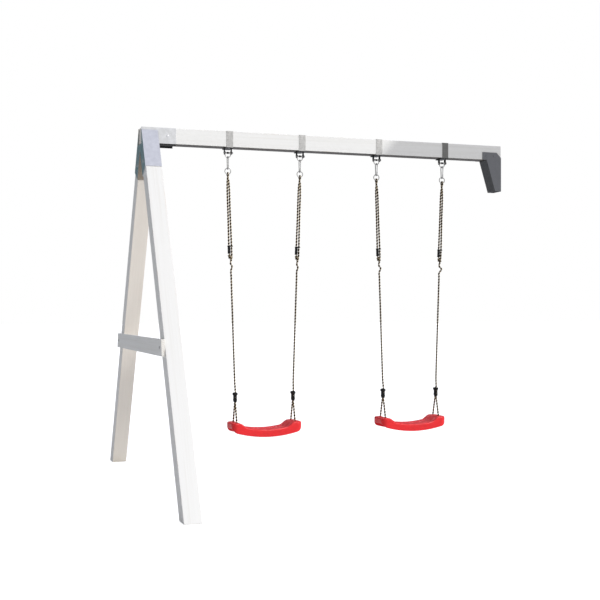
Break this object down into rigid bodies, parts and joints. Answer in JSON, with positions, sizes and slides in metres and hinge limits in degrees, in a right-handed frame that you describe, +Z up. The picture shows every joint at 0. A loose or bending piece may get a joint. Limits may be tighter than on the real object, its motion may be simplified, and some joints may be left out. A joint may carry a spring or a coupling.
{
  "type": "two-seat swing set",
  "caption": "Timber swing beam on one A-frame, its far end carried by a play tower, with rope-hung moulded seats on snap hooks.",
  "frame": {"origin": "on the ground, at the middle of the bounding box in X and Y", "axes": "+X along the swing beam from the A-frame to the tower end, +Z up, +Y to the back"},
  "size_m": [2.3032, 2.2456, 2.0373],
  "materials": {
    "white_timber": "white painted timber, faint grain",
    "coated_steel": "pale grey coated sheet steel",
    "dark_steel": "dark slate grey powder coat",
    "black_steel": "black powder coat",
    "zinc_steel": "dull galvanised",
    "black_plastic": "moulded black nylon",
    "hemp_rope": "three-strand laid rope, hemp coloured",
    "red_plastic": "blow-moulded red polyethylene, soft gloss"
  },
  "bodies": {
    "root": {"swing_beam": "white_timber", "front_leg": "white_timber", "back_leg": "white_timber", "cross_tie": "white_timber", "corner_bracket_front": "coated_steel", "corner_bracket_back": "coated_steel", "tower_bracket": "dark_steel", "tie_bolt_front": "zinc_steel", "tie_bolt_back": "zinc_steel", "corner_leg_bolt_front": "zinc_steel", "corner_leg_bolt_back": "zinc_steel", "corner_beam_bolt": "coated_steel", "tower_bolt_near": "dark_steel", "tower_bolt_far": "dark_steel", "hanger_strap_1": "zinc_steel", "hanger_bracket_1": "black_steel", "hanger_bolt_1": "zinc_steel", "hanger_bush_1": "black_plastic", "hanger_strap_2": "zinc_steel", "hanger_bracket_2": "black_steel", "hanger_bolt_2": "zinc_steel", "hanger_bush_2": "black_plastic", "hanger_strap_3": "zinc_steel", "hanger_bracket_3": "black_steel", "hanger_bolt_3": "zinc_steel", "hanger_bush_3": "black_plastic", "hanger_strap_4": "zinc_steel", "hanger_bracket_4": "black_steel", "hanger_bolt_4": "zinc_steel", "hanger_bush_4": "black_plastic"},
    "left_swing": {"hanger_bow_1": "zinc_steel", "snap_hook_1": "zinc_steel", "rope_ring_1": "zinc_steel", "rope_1": "hemp_rope", "rope_adjuster_1": "black_plastic", "rope_clip_1": "black_plastic", "hanger_bow_2": "zinc_steel", "snap_hook_2": "zinc_steel", "rope_ring_2": "zinc_steel", "rope_2": "hemp_rope", "rope_adjuster_2": "black_plastic", "rope_clip_2": "black_plastic", "left_seat": "red_plastic"},
    "right_swing": {"hanger_bow_3": "zinc_steel", "snap_hook_3": "zinc_steel", "rope_ring_3": "zinc_steel", "rope_3": "hemp_rope", "rope_adjuster_3": "black_plastic", "rope_clip_3": "black_plastic", "hanger_bow_4": "zinc_steel", "snap_hook_4": "zinc_steel", "rope_ring_4": "zinc_steel", "rope_4": "hemp_rope", "rope_adjuster_4": "black_plastic", "rope_clip_4": "black_plastic", "right_seat": "red_plastic"},
    "gate_1": {"snap_gate_1": "zinc_steel"},
    "gate_2": {"snap_gate_2": "zinc_steel"},
    "gate_3": {"snap_gate_3": "zinc_steel"},
    "gate_4": {"snap_gate_4": "zinc_steel"}
  },
  "joints": [
    {"name": "left_swing_hinge", "type": "hinge", "parent": "root", "child": "left_swing", "pos_m": [-0.39585, 0, 1.917], "axis": [1, 0, 0], "range_deg": [-60, 60]},
    {"name": "right_swing_hinge", "type": "hinge", "parent": "root", "child": "right_swing", "pos_m": [0.54065, 0, 1.917], "axis": [1, 0, 0], "range_deg": [-60, 60]},
    {"name": "gate_1_hinge", "type": "hinge", "parent": "left_swing", "child": "gate_1", "pos_m": [-0.61735, -0.01071, 1.8405], "axis": [-1, 0, 0], "range_deg": [0, 25], "stiffness_Nm_per_rad": 0.1, "springref_deg": -17.19},
    {"name": "gate_2_hinge", "type": "hinge", "parent": "left_swing", "child": "gate_2", "pos_m": [-0.17435, -0.01071, 1.8405], "axis": [-1, 0, 0], "range_deg": [0, 25], "stiffness_Nm_per_rad": 0.1, "springref_deg": -17.19},
    {"name": "gate_3_hinge", "type": "hinge", "parent": "right_swing", "child": "gate_3", "pos_m": [0.31915, -0.01071, 1.8405], "axis": [-1, 0, 0], "range_deg": [0, 25], "stiffness_Nm_per_rad": 0.1, "springref_deg": -17.19},
    {"name": "gate_4_hinge", "type": "hinge", "parent": "right_swing", "child": "gate_4", "pos_m": [0.76215, -0.01071, 1.8405], "axis": [-1, 0, 0], "range_deg": [0, 25], "stiffness_Nm_per_rad": 0.1, "springref_deg": -17.19}
  ]
}
